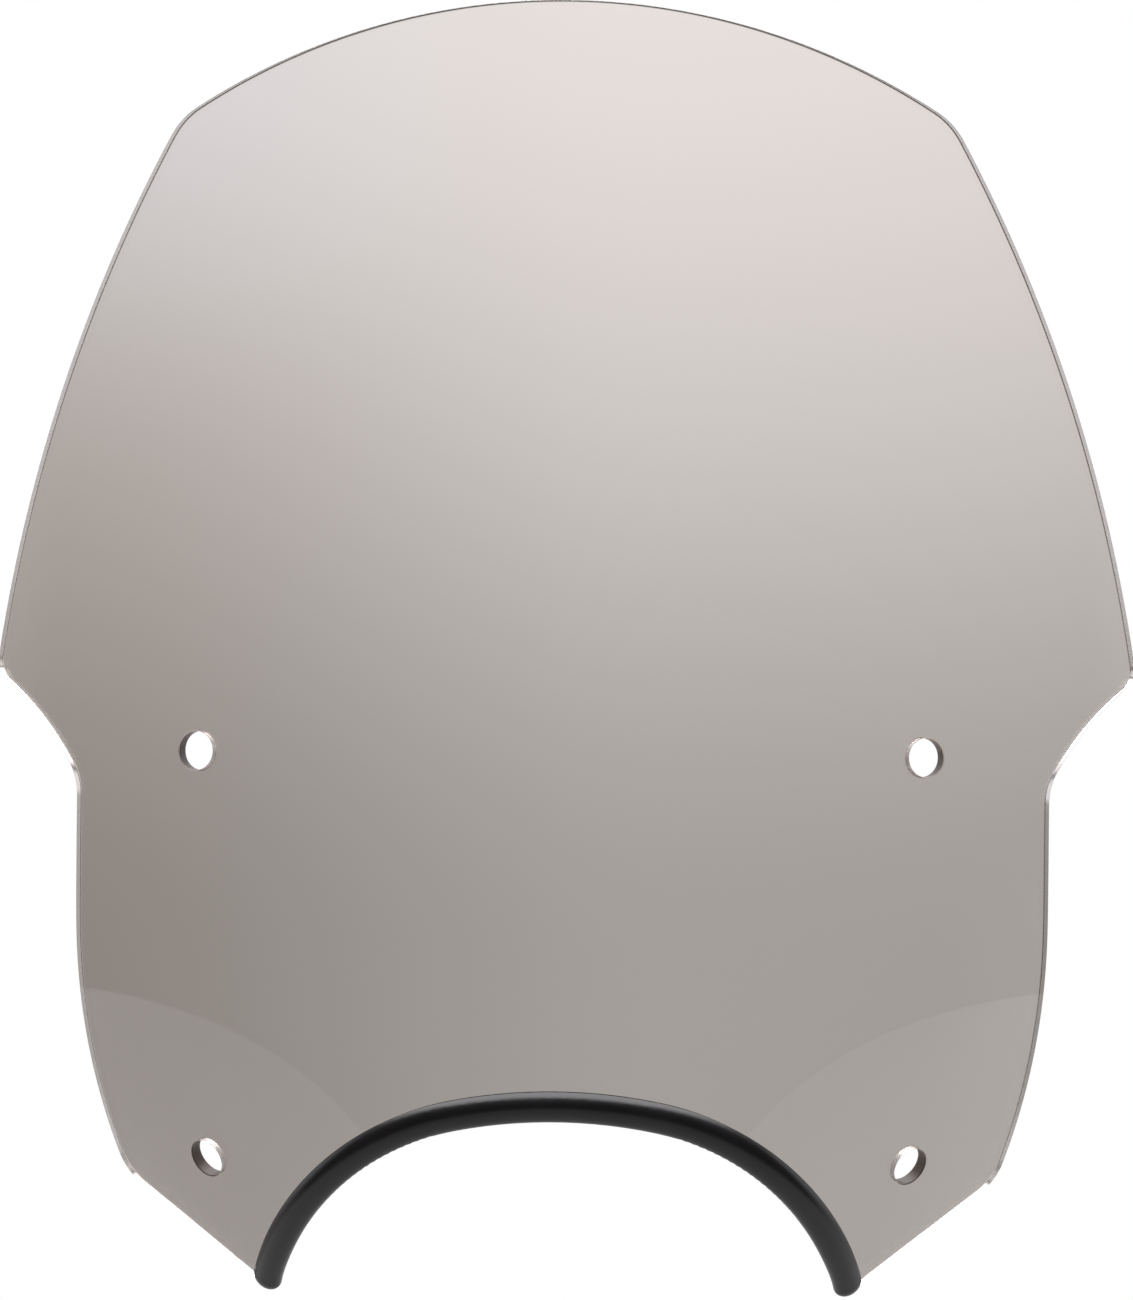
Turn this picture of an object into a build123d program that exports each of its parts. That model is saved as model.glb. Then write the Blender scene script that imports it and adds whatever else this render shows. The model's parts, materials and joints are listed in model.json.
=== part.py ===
from build123d import *
import math
import os

# Tinted windshield screen for a motorcycle, with a soft trim around its headlight cut-out.
# Millimetres. +X is to the right as seen from in front, +Z is up, and the front of the screen
# faces -Y. The origin is under the middle of the object, level with the tips of the trim.

# ---- driving dimensions: the sheet
sheet_thickness = 6.35          # quarter inch acrylic
overall_width = 571.5
crown_above_cutout = 535.3      # top of the sheet above the top of the headlight cut-out
rim_rounding = 0.5              # polished edge, both faces

# The front face is a cylinder of bend_radius about a vertical axis. Below sweep_start it also
# sweeps back, more and more towards the sides: by sweep_back where the lower holes are.
bend_radius = 400.0
sweep_back = 30.0
sweep_drop = 170.0              # height between the start of the sweep and the lower holes
sweep_side = 175.0              # distance from the middle at which sweep_back is measured

# The face is drawn a little past the outline, through a grid of points, and then trimmed.
surface_margin = 24.0
surface_columns = 51
surface_rows = 61
surface_tolerance = 0.005

# Heights above the floor plane that the trim's tips touch
cutout_top = 94.21
crown_top = cutout_top + crown_above_cutout
crest_y = -60.64                # front-most line of the sheet, so that the depth is centred on y = 0

# Corners of the right half of the outline, seen from in front: (x, z). The widest corner is
# rounded, so its sharp point lies a little outside the overall width.
hand_corner_extra = 1.48
shoulder = (189.5, cutout_top + 482.6)
hand_corner = (overall_width / 2 + hand_corner_extra, cutout_top + 211.6)
waist = (241.0, cutout_top + 158.0)
hip = (241.0, cutout_top + 90.6)
heel = (218.7, cutout_top - 40.8)
toe = (143.1, cutout_top - 94.1)
corner_roundings = [(shoulder, 35.0), (hand_corner, 12.0), (waist, 32.0), (heel, 32.0)]
side_radius = 757.0
hand_cutout_radius = 150.0

# Headlight cut-out: a flat arc on top, running into a tighter arc on each side
arch_radius = 234.3
arch_half_angle = math.radians(12.1)
haunch_radius = 124.5

# ---- driving dimensions: the four mounting holes
bore_diameter = 19.05           # three quarter inch
countersink = 0.5               # width of the small chamfer at both ends of a bore
upper_holes = (178.3, cutout_top + 172.8)
lower_holes = (173.4, cutout_top - 28.7)

# ---- driving dimensions: the trim, in its own section. "reach" runs from the sheet's edge
# into the sheet, and "across" runs through the sheet's thickness from its middle.
trim_half_reach = 8.0
trim_half_thickness = 6.0
trim_centre_reach = 4.6
trim_end_before_toe = 3.0       # where the trim's rounded end starts
trim_cap_length = 6.5
trim_sections = 21

clip_steel = 0.5
clip_width = 5.0
clip_pitch = 8.0
clip_leg_across = 4.05
clip_leg_reach = 8.0
clip_shoulder_reach = 0.6
clip_web_across = 2.3
clip_web_reach = -1.85

bead_width = 3.8                # across the sheet's edge, inside its rounded rims
bead_depth = 1.2                # from the sheet's edge to the floor of the channel
bead_end_margin = 10.0          # the bead and the clips stop this far before the sheet's toe

sheet_middle = sheet_thickness / 2
sweep_start = lower_holes[1] + sweep_drop


# ---- the curved front face
def front_y(x, z):
    below = max(sweep_start - z, 0.0) / sweep_drop
    bend = bend_radius - math.sqrt(bend_radius**2 - x**2)
    return crest_y + bend + sweep_back * (x / sweep_side) ** 2 * below**3


def front_point(x, z):
    return Vector(x, front_y(x, z), z)


def front_normal(x, z):
    # Out of the front face, from the slopes of front_y.
    below = max(sweep_start - z, 0.0) / sweep_drop
    slope_x = x / math.sqrt(bend_radius**2 - x**2)
    slope_x += 2 * sweep_back * x / sweep_side**2 * below**3
    slope_z = -3 * sweep_back * (x / sweep_side) ** 2 * below**2 / sweep_drop
    return Vector(slope_x, -1, slope_z).normalized()


def spaced(first, last, count):
    return [first + (last - first) * i / (count - 1) for i in range(count)]


def front_surface():
    half_width = overall_width / 2 + surface_margin
    columns = spaced(-half_width, half_width, surface_columns)
    rows = spaced(-surface_margin, crown_top + surface_margin, surface_rows)
    points = [[front_point(x, z) for x in columns] for z in rows]
    return Face.make_surface_from_array_of_points(
        points, tol=surface_tolerance, min_deg=3, max_deg=5
    )


# ---- the flat outline
def mirrored(corner):
    return (-corner[0], corner[1])


def arch_end():
    return (
        arch_radius * math.sin(arch_half_angle),
        cutout_top - arch_radius * (1 - math.cos(arch_half_angle)),
    )


def flat_outline():
    # Drawn with sharp corners first, then each pair of corners gets its rounding.
    arch_tangent = (math.cos(arch_half_angle), -math.sin(arch_half_angle))
    right_half = [
        RadiusArc(shoulder, hand_corner, side_radius),
        RadiusArc(hand_corner, waist, -hand_cutout_radius),
        Line(waist, hip),
        TangentArc(hip, heel, tangent=(0, -1)),
        Line(heel, toe),
        TangentArc(arch_end(), toe, tangent=arch_tangent),
    ]
    left_half = [mirror(edge, about=Plane.YZ) for edge in right_half]
    top = ThreePointArc(mirrored(shoulder), (0, crown_top), shoulder)
    arch = ThreePointArc(mirrored(arch_end()), (0, cutout_top), arch_end())
    outline = make_face([top, arch] + right_half + left_half)
    for corner, rounding in corner_roundings:
        for place in (corner, mirrored(corner)):
            vertex = outline.vertices().sort_by_distance(Vector(*place))[0]
            outline = fillet(vertex, rounding)
    return outline


# ---- the sheet
def hole_tool(x, z):
    # One bore along the sheet's normal, with a countersink at both faces.
    outward = front_normal(x, z)
    bore = bore_diameter / 2
    front = Plane(origin=front_point(x, z), z_dir=outward)
    back = Plane(origin=front_point(x, z) - outward * sheet_thickness, z_dir=-outward)
    # The cone is as wide as the bore one countersink below the face, and goes on to both sides.
    cone = Cone(bore - countersink, bore + 2 * countersink, 3 * countersink)
    tool = back * Cylinder(bore, 4 * sheet_thickness)
    for face_plane in (front, back):
        tool += face_plane * (Pos(0, 0, -countersink / 2) * cone)
    return tool


def make_screen():
    prism = extrude(Plane.XZ * flat_outline(), amount=bend_radius, both=True)
    face = front_surface().intersect(prism).faces()[0]
    faces_front = face.normal_at(face.center()).Y < 0
    sheet = Solid.thicken(face, -sheet_thickness if faces_front else sheet_thickness)
    broad_faces = sheet.faces().sort_by(SortBy.AREA)[-2:]
    sheet = fillet(broad_faces[0].edges() + broad_faces[1].edges(), rim_rounding)
    for x, z in (upper_holes, mirrored(upper_holes), lower_holes, mirrored(lower_holes)):
        sheet -= hole_tool(x, z)
    return sheet.solids()[0]


# ---- the trim and what it holds
def arch_place(distance):
    # The point of the cut-out's edge at a signed distance along it from its top.
    arch_length = arch_radius * arch_half_angle
    along = abs(distance)
    if along <= arch_length:
        angle = along / arch_radius
        centre = (0.0, cutout_top - arch_radius)
        radius = arch_radius
    else:
        angle = arch_half_angle + (along - arch_length) / haunch_radius
        offset = arch_radius - haunch_radius
        centre = (
            offset * math.sin(arch_half_angle),
            cutout_top - arch_radius + offset * math.cos(arch_half_angle),
        )
        radius = haunch_radius
    side = math.copysign(1.0, distance)
    x = side * (centre[0] + radius * math.sin(angle))
    return (x, centre[1] + radius * math.cos(angle))


def edge_length_to_toe():
    # Distance along the cut-out's edge from its top to the toe, by stepping to the toe's height.
    step = 0.05
    distance = arch_radius * arch_half_angle
    while arch_place(distance)[1] > toe[1]:
        distance += step
    return distance


def edge_frame(distance):
    # Where the trim is at this distance: its point on the sheet's front edge, the way along the
    # edge, the way into the sheet (reach) and the way out of the front face (across).
    small = 0.5
    x, z = arch_place(distance)
    before = front_point(*arch_place(distance - small))
    after = front_point(*arch_place(distance + small))
    outward = front_normal(x, z)
    along = (after - before).normalized()
    reach = outward.cross(along).normalized()
    if reach.Z < 0:
        reach = -reach
    return front_point(x, z), along, reach, outward


def section_plane(distance):
    # Local x is reach and local y is across, measured from the middle of the sheet's edge.
    place, along, reach, outward = edge_frame(distance)
    return Plane(origin=place - outward * sheet_middle, x_dir=reach, z_dir=reach.cross(outward))


def along_cutout(outline, half_length):
    distances = spaced(-half_length, half_length, trim_sections)
    return loft([section_plane(distance) * outline for distance in distances])


def rounded_end(distance, outward_sign):
    # Half an ellipsoid on the end of the trim.
    plane = section_plane(distance)
    ball = scale(Sphere(1), by=(trim_half_reach, trim_half_thickness, trim_cap_length))
    half = split(ball, bisect_by=Plane.XY, keep=Keep.TOP if outward_sign > 0 else Keep.BOTTOM)
    return plane * (Pos(trim_centre_reach, 0, 0) * half)


def make_trim_body(half_length):
    outline = Pos(trim_centre_reach, 0) * Ellipse(trim_half_reach, trim_half_thickness)
    body = along_cutout(outline, half_length)
    for distance in (-half_length, half_length):
        normal = section_plane(distance).z_dir
        along_away = edge_frame(distance)[1] * math.copysign(1, distance)
        body += rounded_end(distance, normal.dot(along_away))
    return body


def make_clip(distance):
    half = [
        (clip_leg_reach, clip_leg_across),
        (clip_shoulder_reach, clip_leg_across),
        (clip_web_reach, clip_web_across),
    ]
    line = Polyline(*half, *[(reach, -across) for reach, across in reversed(half)])
    return extrude(section_plane(distance) * trace(line, clip_steel), clip_width / 2, both=True)


def make_clips(half_length):
    count = 2 * int((half_length - clip_width) / clip_pitch) + 1
    last = clip_pitch * (count - 1) / 2
    return [make_clip(distance) for distance in spaced(-last, last, count)]


def make_trim_parts(sheet):
    # The trim is cut to fit round the sheet's edge, its sealant and its clips, face to face.
    edge_half_length = edge_length_to_toe()
    inner_half_length = edge_half_length - bead_end_margin
    clips = make_clips(inner_half_length)
    sealant = along_cutout(Rectangle(2 * bead_depth, bead_width), inner_half_length) - sheet
    body = make_trim_body(edge_half_length - trim_end_before_toe)
    body = body - sheet - sealant - clips
    return body.solids()[0], sealant.solids()[0], Compound(children=clips)


screen = make_screen()
edge_trim, trim_sealant, trim_clips = make_trim_parts(screen)

nodes = {
    "screen": screen,
    "edge_trim": edge_trim,
    "trim_sealant": trim_sealant,
    "trim_clips": trim_clips,
}
os.makedirs("parts", exist_ok=True)
for name, shape in nodes.items():
    export_step(shape, f"parts/{name}.step")
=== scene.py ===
import bpy
import json
import math
from mathutils import Matrix, Vector
from mathutils.geometry import delaunay_2d_cdt


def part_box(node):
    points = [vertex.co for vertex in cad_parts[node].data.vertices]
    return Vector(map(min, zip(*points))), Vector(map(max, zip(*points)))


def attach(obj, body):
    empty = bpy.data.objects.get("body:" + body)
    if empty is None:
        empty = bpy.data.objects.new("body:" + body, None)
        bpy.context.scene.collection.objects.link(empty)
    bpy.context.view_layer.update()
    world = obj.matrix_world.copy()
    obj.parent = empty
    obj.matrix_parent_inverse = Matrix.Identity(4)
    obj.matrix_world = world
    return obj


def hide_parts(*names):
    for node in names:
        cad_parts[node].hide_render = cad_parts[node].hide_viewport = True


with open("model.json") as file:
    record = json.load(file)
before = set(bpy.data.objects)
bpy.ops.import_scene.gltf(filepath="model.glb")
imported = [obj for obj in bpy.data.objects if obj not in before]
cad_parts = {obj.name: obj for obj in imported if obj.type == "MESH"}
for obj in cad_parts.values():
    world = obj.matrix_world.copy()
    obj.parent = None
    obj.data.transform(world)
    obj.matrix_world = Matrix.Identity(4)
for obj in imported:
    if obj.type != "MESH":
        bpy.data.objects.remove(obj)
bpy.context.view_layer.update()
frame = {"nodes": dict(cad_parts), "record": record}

# A tinted windshield screen with a soft black trim around its headlight cut-out. Metres.
# The CAD model gives the sizes; the sheet is rebuilt here as one fine closed mesh whose
# shading normals come from the same formula as its shape, so that it refracts cleanly.

MM = 0.001

# ---- the sheet's size and place, from the frame
sheet_low, sheet_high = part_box("screen")
crest_y = sheet_low[1]
crown_top = sheet_high[2]
half_width = sheet_high[0]
crown_above_cutout = 535.3 * MM
cutout_top = crown_top - crown_above_cutout
thickness = 6.35 * MM
rim_rounding = 0.5 * MM
countersink = 0.5 * MM
bore_radius = 9.525 * MM

# ---- how fine the sheet's mesh is, and how machined its surfaces look: 0 polished, 1 sawn; the same numbers paint a brown shade on the rims and bore walls
mesh_step = 6.5 * MM
bore_sides = 64
rim_steps = 4                   # faces round each of the two rounded rims
rim_machined_and_painted_shade = 0.3
bore_machined_and_painted_shade = 1.0

# ---- the curved front face, as the CAD has it
bend_radius = 400 * MM
sweep_back = 30 * MM
sweep_drop = 170 * MM
sweep_side = 175 * MM
lower_hole_height = cutout_top - 28.7 * MM
sweep_start = lower_hole_height + sweep_drop


def front_y(x, z):
    below = max(sweep_start - z, 0.0) / sweep_drop
    bend = bend_radius - math.sqrt(bend_radius**2 - x**2)
    return crest_y + bend + sweep_back * (x / sweep_side) ** 2 * below**3


def front_point(x, z):
    return Vector((x, front_y(x, z), z))


def front_normal(x, z):
    below = max(sweep_start - z, 0.0) / sweep_drop
    slope_x = x / math.sqrt(bend_radius**2 - x**2)
    slope_x += 2 * sweep_back * x / sweep_side**2 * below**3
    slope_z = -3 * sweep_back * (x / sweep_side) ** 2 * below**2 / sweep_drop
    return Vector((slope_x, -1.0, slope_z)).normalized()


# ---- the flat outline, seen from in front: corners joined by arcs, then rounded
class Arc:
    """An edge of the outline. inside is +1 where the sheet lies on the side of the centre."""

    def __init__(self, centre, radius, inside):
        self.centre, self.radius, self.inside = Vector(centre), radius, inside

    def nearest(self, point):
        return self.centre + (point - self.centre).normalized() * self.radius


def arc_between(start, end, radius, centre_side):
    # centre_side is +1 if the centre is to the right when going from start to end.
    chord = end - start
    middle = (start + end) / 2
    right = Vector((chord.y, -chord.x)).normalized()
    depth = math.sqrt(radius**2 - (chord.length / 2) ** 2)
    return Arc(middle + right * depth * centre_side, radius, centre_side)


def straight(start, end):
    return arc_between(start, end, 500.0, 1)


def corner_at(x, height):
    return Vector((x * MM, cutout_top + height * MM))


def rounding_centre(one, two, corner, radius, convex):
    # Where two circles meet that run parallel to the edges, on the side of the rounding.
    side = 1 if convex else -1
    radius_one = one.radius - side * one.inside * radius
    radius_two = two.radius - side * two.inside * radius
    across = two.centre - one.centre
    apart = across.length
    along = (apart**2 + radius_one**2 - radius_two**2) / (2 * apart)
    away = math.sqrt(max(radius_one**2 - along**2, 0.0))
    unit = across / apart
    foot = one.centre + unit * along
    normal = Vector((-unit.y, unit.x))
    return min((foot + normal * away, foot - normal * away), key=lambda p: (p - corner).length)


def along_arc(centre, start, end):
    # Evenly spaced points from start up to, but without, end.
    first, last = start - centre, end - centre
    radius = first.length
    turn = first.angle_signed(last)
    step = min(5.5 * MM, max(0.08 * radius, 0.8 * MM))
    count = max(int(math.ceil(abs(turn) * radius / step)), 2)
    points = []
    for i in range(count):
        angle = -turn * i / count
        cos, sin = math.cos(angle), math.sin(angle)
        turned = (first.x * cos - first.y * sin, first.x * sin + first.y * cos)
        points.append(centre + Vector(turned))
    return points


def flat_outline():
    # Clockwise as seen from in front, from the middle of the top round to the same point.
    shoulder = corner_at(189.5, 482.6)
    hand_corner = corner_at(285.75 + 1.48, 211.6)
    waist = corner_at(241.0, 158.0)
    hip = corner_at(241.0, 90.6)
    heel = corner_at(218.7, -40.8)
    toe = corner_at(143.1, -94.1)
    arch_radius, haunch_radius, arch_half_angle = 234.3 * MM, 124.5 * MM, math.radians(12.1)
    sagitta = crown_top - shoulder.y
    top_radius = (shoulder.x**2 + sagitta**2) / (2 * sagitta)
    top = Arc((0.0, crown_top - top_radius), top_radius, 1)
    flank = arc_between(shoulder, hand_corner, 757 * MM, 1)
    hand_cut = arc_between(hand_corner, waist, 150 * MM, -1)
    hip_line = straight(waist, hip)
    down_in = heel - hip
    hip_radius = down_in.length_squared / (-2 * down_in.x)
    hip_arc = Arc((hip.x - hip_radius, hip.y), hip_radius, 1)
    heel_line = straight(heel, toe)
    arch_centre = Vector((0.0, cutout_top - arch_radius))
    arch_direction = Vector((math.sin(arch_half_angle), math.cos(arch_half_angle)))
    arch_end = arch_centre + arch_radius * arch_direction
    haunch_centre = arch_end + (arch_centre - arch_end).normalized() * haunch_radius
    haunch = Arc(haunch_centre, haunch_radius, -1)

    half = []
    place, edge = Vector((0.0, crown_top)), top
    corners = [
        (shoulder, flank, 35, True),
        (hand_corner, hand_cut, 12, True),
        (waist, hip_line, 32, False),
        (hip, hip_arc, 0, True),
        (heel, heel_line, 32, True),
        (toe, haunch, 2.5, True),
    ]
    for corner, next_edge, rounding, convex in corners:
        if rounding:
            centre = rounding_centre(edge, next_edge, corner, rounding * MM, convex)
            start, end = edge.nearest(centre), next_edge.nearest(centre)
            half += along_arc(edge.centre, place, start) + along_arc(centre, start, end)
        else:
            end = corner
            half += along_arc(edge.centre, place, corner)
        place, edge = end, next_edge
    half += along_arc(haunch.centre, place, arch_end)
    half += along_arc(arch_centre, arch_end, Vector((0.0, cutout_top)))
    mirrored = [Vector((-p.x, p.y)) for p in reversed(half[1:])]
    return half + [Vector((0.0, cutout_top))] + mirrored


# ---- the sheet as one closed mesh
class SheetMesh:
    def __init__(self):
        self.points, self.faces, self.normals, self.machined_and_painted_shade = [], [], [], []

    def add_point(self, point):
        self.points.append(point)
        return len(self.points) - 1

    def add_face(self, corners, machined_and_painted_shade):
        self.faces.append([index for index, _ in corners])
        self.normals += [normal for _, normal in corners]
        self.machined_and_painted_shade += [machined_and_painted_shade] * len(corners)

    def add_band(self, one, two, machined_and_painted_shade):
        # A closed strip of quads between two loops of (index, normal) pairs.
        count = len(one)
        for i in range(count):
            j = (i + 1) % count
            self.add_face([one[i], one[j], two[j], two[i]], machined_and_painted_shade)

    def build(self, name):
        mesh = bpy.data.meshes.new(name)
        mesh.from_pydata(self.points, [], self.faces)
        mesh.polygons.foreach_set("use_smooth", [True] * len(self.faces))
        mask = mesh.attributes.new("machined_and_painted_shade", "FLOAT", "CORNER")
        mask.data.foreach_set("value", self.machined_and_painted_shade)
        mesh.normals_split_custom_set([tuple(n) for n in self.normals])
        mesh.update()
        piece = bpy.data.objects.new(name, mesh)
        bpy.context.scene.collection.objects.link(piece)
        return piece


def inside_loop(point, loop):
    hit = False
    for i, here in enumerate(loop):
        there = loop[i - 1]
        if (here.y > point.y) != (there.y > point.y):
            cross = here.x + (point.y - here.y) / (there.y - here.y) * (there.x - here.x)
            if point.x < cross:
                hit = not hit
    return hit


def grid_inside(outer, holes):
    # Points of a triangular grid that keep clear of the outline and of the holes.
    clear = 0.55 * mesh_step
    edge_points = [p for loop in [outer] + holes for p in loop]
    cells = {}
    for p in edge_points:
        cells.setdefault((int(p.x // mesh_step), int(p.y // mesh_step)), []).append(p)
    neighbours = [(i, j) for i in (-1, 0, 1) for j in (-1, 0, 1)]
    found = []
    row_step = mesh_step * math.sqrt(3) / 2
    rows = int(crown_top / row_step) + 2
    columns = int(half_width / mesh_step) + 2
    for row in range(-1, rows):
        for column in range(-columns, columns + 1):
            p = Vector(((column + 0.5 * (row % 2)) * mesh_step, row * row_step))
            cx, cy = int(p.x // mesh_step), int(p.y // mesh_step)
            near = [q for i, j in neighbours for q in cells.get((cx + i, cy + j), [])]
            if any((q - p).length < clear for q in near):
                continue
            if inside_loop(p, outer) and not any(inside_loop(p, hole) for hole in holes):
                found.append(p)
    return found


def triangles_between(outer, holes):
    points, edges = [], []
    for loop in [outer] + holes:
        base = len(points)
        points += loop
        edges += [(base + i, base + (i + 1) % len(loop)) for i in range(len(loop))]
    points = points + grid_inside(outer, holes)
    made, _, faces, _, _, _ = delaunay_2d_cdt(points, edges, [], 0, 1e-7)
    if len(made) != len(points):
        raise ValueError("the sheet's outline touches itself")
    kept = []
    for a, b, c in faces:
        middle = (made[a] + made[b] + made[c]) / 3
        if inside_loop(middle, outer) and not any(inside_loop(middle, hole) for hole in holes):
            turn = (made[b] - made[a]).cross(made[c] - made[a])
            kept.append((a, b, c) if turn > 0 else (a, c, b))
    return made, kept


def hole_mounts():
    found = []
    for mount in frame["record"]["mounts"]:
        if mount["name"].endswith("_hole"):
            found.append(Vector(mount["pos_m"]))
    return found


def make_sheet():
    rim_turns = [math.pi / 2 * i / rim_steps for i in range(1, rim_steps + 1)]
    bore_turns = [2 * math.pi * i / bore_sides for i in range(bore_sides)]
    sheet = SheetMesh()

    # The rim at each point of the outline: its place, the way out of the face, the way out of
    # the sheet's edge.
    outline = flat_outline()
    rim, outer = [], []
    for i, p in enumerate(outline):
        before, after = outline[i - 1], outline[(i + 1) % len(outline)]
        normal = front_normal(p.x, p.y)
        along = (front_point(after.x, after.y) - front_point(before.x, before.y)).normalized()
        out = normal.cross(along).normalized()
        edge = front_point(p.x, p.y)
        rim.append((edge, normal, out))
        inner = edge - out * rim_rounding
        outer.append(Vector((inner.x, inner.z)))

    # Each hole's front ring: the countersink's cone cuts the curved face a little unevenly.
    holes, hole_frames = [], []
    for middle in hole_mounts():
        x, z = middle.x, middle.z
        for _ in range(8):
            normal = front_normal(x, z)
            spot = middle + normal * (thickness / 2)
            x, z = spot.x, spot.z
        side = normal.cross(Vector((0, 0, 1))).normalized()
        up = side.cross(normal)
        spot = front_point(x, z)
        ring = []
        for turn in bore_turns:
            ray = side * math.cos(turn) + up * math.sin(turn)
            height = 0.0
            for _ in range(6):
                p = spot + ray * (bore_radius + countersink + height) + normal * height
                height -= (p.y - front_y(p.x, p.z)) * normal.y
            p = spot + ray * (bore_radius + countersink + height)
            ring.append(Vector((p.x, p.z)))
        holes.append(ring)
        hole_frames.append((spot, normal, side, up))

    flat_points, triangles = triangles_between(outer, holes)
    front, back = [], []
    for p in flat_points:
        normal = front_normal(p.x, p.y)
        place = front_point(p.x, p.y)
        front.append((sheet.add_point(place), normal))
        back.append((sheet.add_point(place - normal * thickness), -normal))
    for a, b, c in triangles:
        sheet.add_face([front[a], front[b], front[c]], 0.0)
        sheet.add_face([back[a], back[c], back[b]], 0.0)

    # The rounded rim, from the front face round to the back face.
    count = len(outer)
    bands = [front[:count]]
    for turn in rim_turns:
        band = []
        for edge, normal, out in rim:
            facing = normal * math.cos(turn) + out * math.sin(turn)
            centre = edge - (out + normal) * rim_rounding
            band.append((sheet.add_point(centre + facing * rim_rounding), facing))
        bands.append(band)
    for turn in reversed(rim_turns):
        band = []
        for edge, normal, out in rim:
            facing = -normal * math.cos(turn) + out * math.sin(turn)
            centre = edge - out * rim_rounding - normal * (thickness - rim_rounding)
            band.append((sheet.add_point(centre + facing * rim_rounding), facing))
        bands.append(band)
    bands.append(back[:count])
    for one, two in zip(bands, bands[1:]):
        sheet.add_band(one, two, rim_machined_and_painted_shade)

    # The holes: countersink, bore wall, countersink.
    base = count
    for spot, normal, side, up in hole_frames:
        front_ring = [index for index, _ in front[base:base + bore_sides]]
        back_ring = [index for index, _ in back[base:base + bore_sides]]
        rays = [side * math.cos(turn) + up * math.sin(turn) for turn in bore_turns]
        walls = []
        for depth in (countersink, thickness - countersink):
            ring = [spot + ray * bore_radius - normal * depth for ray in rays]
            walls.append([sheet.add_point(place) for place in ring])
        front_slopes = [(normal - ray).normalized() for ray in rays]
        back_slopes = [(-normal - ray).normalized() for ray in rays]
        inward = [-ray for ray in rays]
        loops = [
            (list(zip(front_ring, front_slopes)), list(zip(walls[0], front_slopes))),
            (list(zip(walls[0], inward)), list(zip(walls[1], inward))),
            (list(zip(walls[1], back_slopes)), list(zip(back_ring, back_slopes))),
        ]
        for one, two in loops:
            sheet.add_band(two, one, bore_machined_and_painted_shade)
        base += bore_sides
    return sheet.build("tinted_sheet")


# ---- materials
def new_material(name):
    material = bpy.data.materials.new(name)
    material.use_nodes = True
    nodes = material.node_tree.nodes
    return material, nodes, material.node_tree.links, nodes["Principled BSDF"]


def noise_node(nodes, links, scale, detail):
    where = nodes.new("ShaderNodeTexCoord")
    noise = nodes.new("ShaderNodeTexNoise")
    noise.inputs["Scale"].default_value = scale
    noise.inputs["Detail"].default_value = detail
    links.new(where.outputs["Object"], noise.inputs["Vector"])
    return noise


def spread(nodes, links, value, low, high):
    ranger = nodes.new("ShaderNodeMapRange")
    ranger.inputs["To Min"].default_value = low
    ranger.inputs["To Max"].default_value = high
    links.new(value, ranger.inputs["Value"])
    return ranger.outputs["Result"]


def acrylic_material():
    material, nodes, links, surface = new_material("tinted_acrylic_looks")
    surface.inputs["Transmission Weight"].default_value = 1.0
    surface.inputs["IOR"].default_value = 1.49
    mask = nodes.new("ShaderNodeAttribute")
    mask.attribute_name = "machined_and_painted_shade"
    handled = noise_node(nodes, links, 18.0, 4.0)
    broad = spread(nodes, links, handled.outputs["Fac"], 0.0, 0.012)
    sawn = noise_node(nodes, links, 120.0, 3.0)
    cut = spread(nodes, links, sawn.outputs["Fac"], 0.48, 0.56)
    mix = nodes.new("ShaderNodeMix")
    links.new(mask.outputs["Fac"], mix.inputs["Factor"])
    links.new(broad, mix.inputs["A"])
    links.new(cut, mix.inputs["B"])
    links.new(mix.outputs["Result"], surface.inputs["Roughness"])
    # Painted shade: machined rims and bore walls get a brown base colour that stands in for the
    # dark look of light travelling far inside the tinted sheet.
    wall_painted_shade = nodes.new("ShaderNodeMix")
    wall_painted_shade.data_type = "RGBA"
    links.new(mask.outputs["Fac"], wall_painted_shade.inputs["Factor"])
    wall_painted_shade.inputs[6].default_value = (1, 1, 1, 1)
    wall_painted_shade.inputs[7].default_value = (0.42, 0.33, 0.28, 1)
    links.new(wall_painted_shade.outputs[2], surface.inputs["Base Color"])
    tint = nodes.new("ShaderNodeVolumeAbsorption")
    tint.inputs["Color"].default_value = (0.28, 0.19, 0.10, 1)
    tint.inputs["Density"].default_value = 60.0
    links.new(tint.outputs["Volume"], nodes["Material Output"].inputs["Volume"])
    return material


def pvc_material():
    material, nodes, links, surface = new_material("black_pvc_looks")
    grain = noise_node(nodes, links, 700.0, 6.0)
    cloud = noise_node(nodes, links, 45.0, 3.0)
    ramp = nodes.new("ShaderNodeValToRGB")
    ramp.color_ramp.elements[0].color = (0.005, 0.0045, 0.005, 1)
    ramp.color_ramp.elements[1].color = (0.011, 0.010, 0.011, 1)
    links.new(cloud.outputs["Fac"], ramp.inputs["Fac"])
    links.new(ramp.outputs["Color"], surface.inputs["Base Color"])
    links.new(spread(nodes, links, grain.outputs["Fac"], 0.26, 0.32), surface.inputs["Roughness"])
    bump = nodes.new("ShaderNodeBump")
    bump.inputs["Strength"].default_value = 0.04
    bump.inputs["Distance"].default_value = 0.0002
    links.new(grain.outputs["Fac"], bump.inputs["Height"])
    links.new(bump.outputs["Normal"], surface.inputs["Normal"])
    return material


def steel_material():
    material, nodes, links, surface = new_material("spring_steel_looks")
    surface.inputs["Metallic"].default_value = 1.0
    brushed = noise_node(nodes, links, 400.0, 4.0)
    ramp = nodes.new("ShaderNodeValToRGB")
    ramp.color_ramp.elements[0].color = (0.32, 0.31, 0.30, 1)
    ramp.color_ramp.elements[1].color = (0.55, 0.54, 0.52, 1)
    links.new(brushed.outputs["Fac"], ramp.inputs["Fac"])
    links.new(ramp.outputs["Color"], surface.inputs["Base Color"])
    links.new(spread(nodes, links, brushed.outputs["Fac"], 0.25, 0.45), surface.inputs["Roughness"])
    return material


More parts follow.
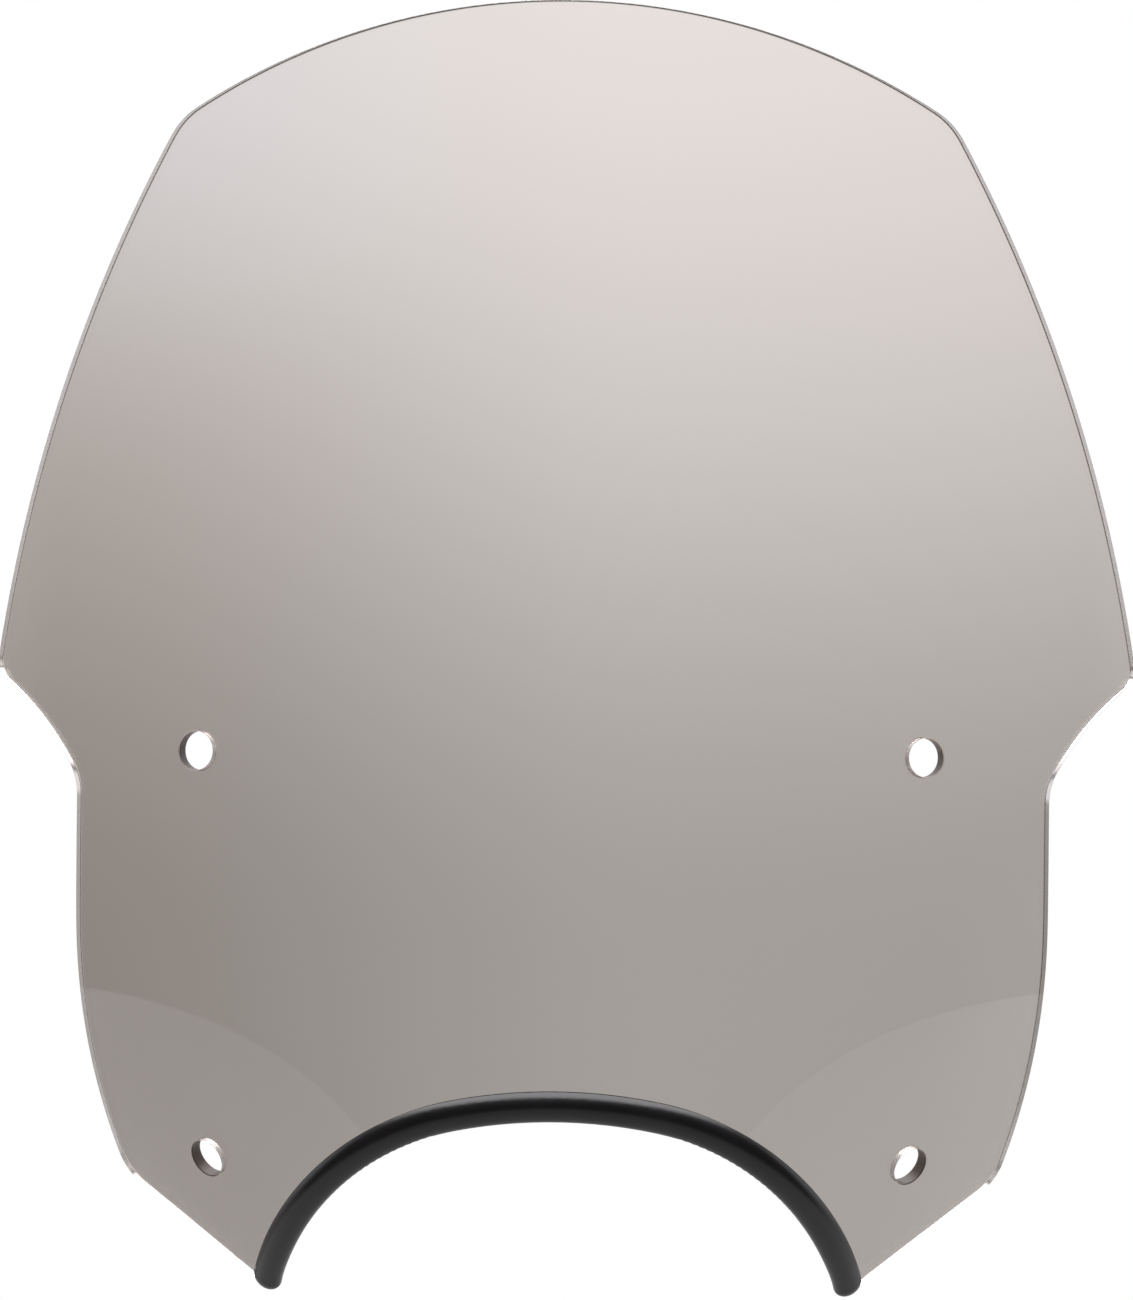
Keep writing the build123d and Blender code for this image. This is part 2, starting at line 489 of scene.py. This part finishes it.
def butyl_material():
    material, nodes, links, surface = new_material("butyl_looks")
    lumps = noise_node(nodes, links, 250.0, 5.0)
    ramp = nodes.new("ShaderNodeValToRGB")
    ramp.color_ramp.elements[0].color = (0.012, 0.012, 0.013, 1)
    ramp.color_ramp.elements[1].color = (0.03, 0.03, 0.031, 1)
    links.new(lumps.outputs["Fac"], ramp.inputs["Fac"])
    links.new(ramp.outputs["Color"], surface.inputs["Base Color"])
    links.new(spread(nodes, links, lumps.outputs["Fac"], 0.5, 0.75), surface.inputs["Roughness"])
    return material


def dress(piece, material):
    piece.data.materials.clear()
    piece.data.materials.append(material)


# ---- the pieces
sheet = make_sheet()
dress(sheet, acrylic_material())
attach(sheet, "root")
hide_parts("screen")

for node, material in (
    ("edge_trim", pvc_material()),
    ("trim_clips", steel_material()),
    ("trim_sealant", butyl_material()),
):
    for slot in frame["nodes"][node].material_slots:
        slot.material = material


# ---- studio: a backdrop that fades from pale above to grey below, in a dark room with a wide
# soft box overhead and a pale floor. The camera sees plain white instead, and rays that have
# gone through the sheet see the backdrop on every side; only reflections see the dark room.
class NodeSet:
    # The nodes of one world or material, started empty.
    def __init__(self, owner):
        owner.use_nodes = True
        self.nodes, self.links = owner.node_tree.nodes, owner.node_tree.links
        self.nodes.clear()

    def add(self, kind, **settings):
        node = self.nodes.new(kind)
        for name, value in settings.items():
            setattr(node, name, value)
        return node

    def feed(self, socket, value):
        if isinstance(value, bpy.types.NodeSocket):
            self.links.new(value, socket)
        else:
            socket.default_value = value

    def calculate(self, operation, one, two):
        node = self.add("ShaderNodeMath", operation=operation)
        self.feed(node.inputs[0], one)
        self.feed(node.inputs[1], two)
        return node.outputs[0]

    def fade(self, value, start, end, low, high):
        # low up to start, high from end on, and a smooth curve between them.
        node = self.add("ShaderNodeMapRange", interpolation_type="SMOOTHSTEP")
        self.feed(node.inputs["Value"], value)
        limits = {"From Min": start, "From Max": end, "To Min": low, "To Max": high}
        for name, number in limits.items():
            self.feed(node.inputs[name], number)
        return node.outputs["Result"]

    def blend(self, factor, one, two, kind="MIX"):
        node = self.add("ShaderNodeMix", data_type="RGBA", blend_type=kind)
        self.feed(node.inputs["Factor"], factor)
        self.feed(node.inputs[6], one)
        self.feed(node.inputs[7], two)
        return node.outputs[2]

    def multiply(self, one, two):
        return self.blend(1.0, one, two, "MULTIPLY")


def studio_world():
    world = bpy.data.worlds.new("studio")
    bpy.context.scene.world = world
    tree = NodeSet(world)
    where = tree.add("ShaderNodeTexCoord")
    apart = tree.add("ShaderNodeSeparateXYZ")
    tree.links.new(where.outputs["Generated"], apart.inputs["Vector"])
    x, y, z = apart.outputs["X"], apart.outputs["Y"], apart.outputs["Z"]

    # Near the middle of the view, x and z are close to the angles to the right and up.
    height = tree.fade(z, -0.055, 0.16, 0.0, 1.0)
    upper = tree.fade(height, 0.4, 0.95, 0.0, 1.0)
    grey = tree.blend(height, (0.513, 0.499, 0.494, 1), (1.19, 1.17, 1.19, 1))
    left = tree.blend(upper, (0.75, 0.725, 0.70, 1), (0.87, 0.88, 0.9, 1))
    right = tree.blend(upper, (0.985, 0.98, 0.97, 1), (0.95, 0.93, 0.915, 1))
    side = tree.blend(tree.fade(x, -0.13, 0.0, 0.0, 1.0), left, right)
    to_the_right = tree.fade(x, 0.05, 0.1, 0.0, 0.13)
    corner = tree.calculate("MULTIPLY", to_the_right, tree.fade(z, -0.05, -0.02, 1.0, 0.0))
    behind = tree.add("ShaderNodeBackground")
    tree.feed(behind.inputs["Color"], tree.multiply(grey, side))
    tree.feed(behind.inputs["Strength"], tree.calculate("ADD", corner, 1.0))

    around = tree.add("ShaderNodeBackground")
    tree.feed(around.inputs["Color"], (1.0, 0.975, 1.0, 1))
    tree.feed(around.inputs["Strength"], tree.fade(z, 0.6, 0.82, 0.015, 5.6))

    plain = tree.add("ShaderNodeBackground")
    tree.feed(plain.inputs["Color"], (1, 1, 1, 1))
    ray = tree.add("ShaderNodeLightPath")
    below_box = tree.fade(z, 0.5, 0.62, 1.0, 0.0)
    to_the_back = tree.fade(y, -0.1, 0.15, 0.0, 1.0)
    behind_sheet = tree.calculate("MAXIMUM", to_the_back, ray.outputs["Is Transmission Ray"])
    facing = tree.calculate("MULTIPLY", behind_sheet, below_box)
    studio = tree.add("ShaderNodeMixShader")
    tree.feed(studio.inputs["Fac"], facing)
    tree.links.new(around.outputs["Background"], studio.inputs[1])
    tree.links.new(behind.outputs["Background"], studio.inputs[2])
    shown = tree.add("ShaderNodeMixShader")
    tree.feed(shown.inputs["Fac"], ray.outputs["Is Camera Ray"])
    tree.links.new(studio.outputs["Shader"], shown.inputs[1])
    tree.links.new(plain.outputs["Background"], shown.inputs[2])
    out = tree.add("ShaderNodeOutputWorld")
    tree.links.new(shown.outputs["Shader"], out.inputs["Surface"])


def add_camera():
    # Square on to the sheet, but for about a degree of turn, tip and lean.
    lens = bpy.data.cameras.new("camera")
    lens.sensor_fit = "HORIZONTAL"
    lens.sensor_width = 36.0
    lens.lens = 159.3
    lens.clip_start = 0.05
    lean = Matrix.Rotation(math.radians(0.56), 3, "Y")
    tip = Matrix.Rotation(math.radians(-0.52), 3, "X")
    yaw = Matrix.Rotation(math.radians(-1.36), 3, "Z")
    turn = (lean @ tip @ yaw).transposed()
    level = Matrix.Rotation(math.radians(90), 3, "X")
    target = Vector((0.0, crest_y, 317.8 * MM))
    distance, aside, above = 2403 * MM, 3.44 * MM, -0.42 * MM
    camera = bpy.data.objects.new("camera", lens)
    camera.location = target + turn @ Vector((aside, -distance, above))
    camera.rotation_euler = (turn @ level).to_euler()
    bpy.context.scene.collection.objects.link(camera)
    bpy.context.scene.camera = camera


def floor_material():
    # A little paler under and behind the object than in front of it: painted shade standing in for
    # light that falls unevenly on the floor.
    material = bpy.data.materials.new("pale_floor")
    tree = NodeSet(material)
    place = tree.add("ShaderNodeNewGeometry")
    apart = tree.add("ShaderNodeSeparateXYZ")
    tree.links.new(place.outputs["Position"], apart.inputs["Vector"])
    surface = tree.add("ShaderNodeBsdfPrincipled")
    tree.feed(surface.inputs["Base Color"], tree.fade(apart.outputs["Y"], -1.6, 0.0, 0.15, 0.25))
    tree.feed(surface.inputs["Roughness"], 0.9)
    out = tree.add("ShaderNodeOutputMaterial")
    tree.links.new(surface.outputs["BSDF"], out.inputs["Surface"])
    return material


def add_floor():
    # A round floor, far enough below the object to stay out of the camera's view. It is what the
    # lower corners and the underside of the trim reflect.
    reach, level, sides = 2.7, -0.7, 96
    turns = [2 * math.pi * i / sides for i in range(sides)]
    mesh = bpy.data.meshes.new("floor")
    mesh.from_pydata(
        [(reach * math.cos(turn), reach * math.sin(turn), level) for turn in turns],
        [], [list(range(sides))])
    floor = bpy.data.objects.new("floor", mesh)
    bpy.context.scene.collection.objects.link(floor)
    dress(floor, floor_material())


studio_world()
add_camera()
add_floor()
bpy.context.scene.view_settings.view_transform = "Standard"
